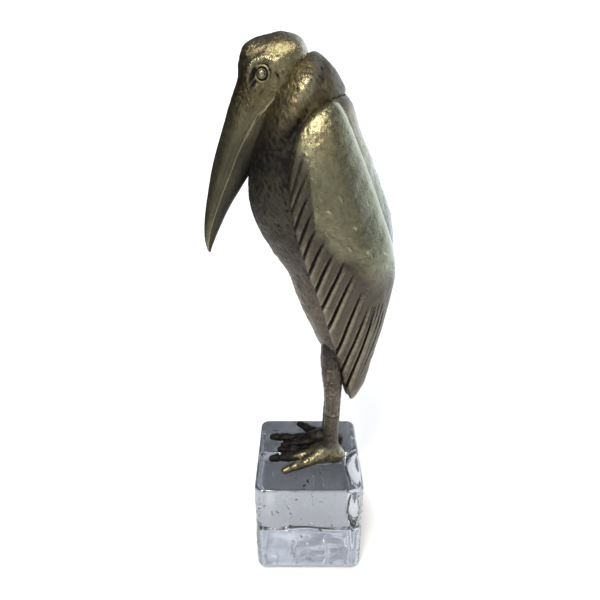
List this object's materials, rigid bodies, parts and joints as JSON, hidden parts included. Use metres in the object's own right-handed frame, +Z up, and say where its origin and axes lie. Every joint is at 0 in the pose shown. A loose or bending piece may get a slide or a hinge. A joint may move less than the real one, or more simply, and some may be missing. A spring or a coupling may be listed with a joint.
{
  "type": "wading bird statuette on a glass block",
  "caption": "Cast metal marabou stork standing hunched on a solid clear glass block, antique brass finish, a heavy desk ornament.",
  "frame": {"origin": "centre of the glass block's flat underside", "axes": "+Z up through the block and the bird, -X the way the bird faces, Y across the bird"},
  "size_m": [0.0956, 0.063, 0.2825],
  "materials": {
    "antique_brass": "cast and chased, silvered brass with a dark brown-black patina in the hollows, rubbed bright on the high places",
    "bright_brass": "smooth, rubbed brass under a thin brown patina",
    "clear_glass": "clear cast glass, fire-polished, with small seeds and chipped edges",
    "steel_pin": "plain turned steel",
    "clear_glue": "clear hard glue, glossy"
  },
  "bodies": {
    "root": {"glass_block": "clear_glass", "head": "antique_brass", "lower_bill": "bright_brass", "breast_shell": "antique_brass", "back_shell": "antique_brass", "neck_pin": "steel_pin", "left_eye": "bright_brass", "right_eye": "bright_brass", "left_wing": "antique_brass", "right_wing": "antique_brass", "left_leg": "antique_brass", "right_leg": "antique_brass", "left_foot": "antique_brass", "right_foot": "antique_brass", "left_ankle_pin": "steel_pin", "right_ankle_pin": "steel_pin", "left_foot_bond": "clear_glue", "right_foot_bond": "clear_glue", "left_wing_front_pin": "steel_pin", "left_wing_rear_pin": "steel_pin", "right_wing_front_pin": "steel_pin", "right_wing_rear_pin": "steel_pin"}
  },
  "joints": []
}
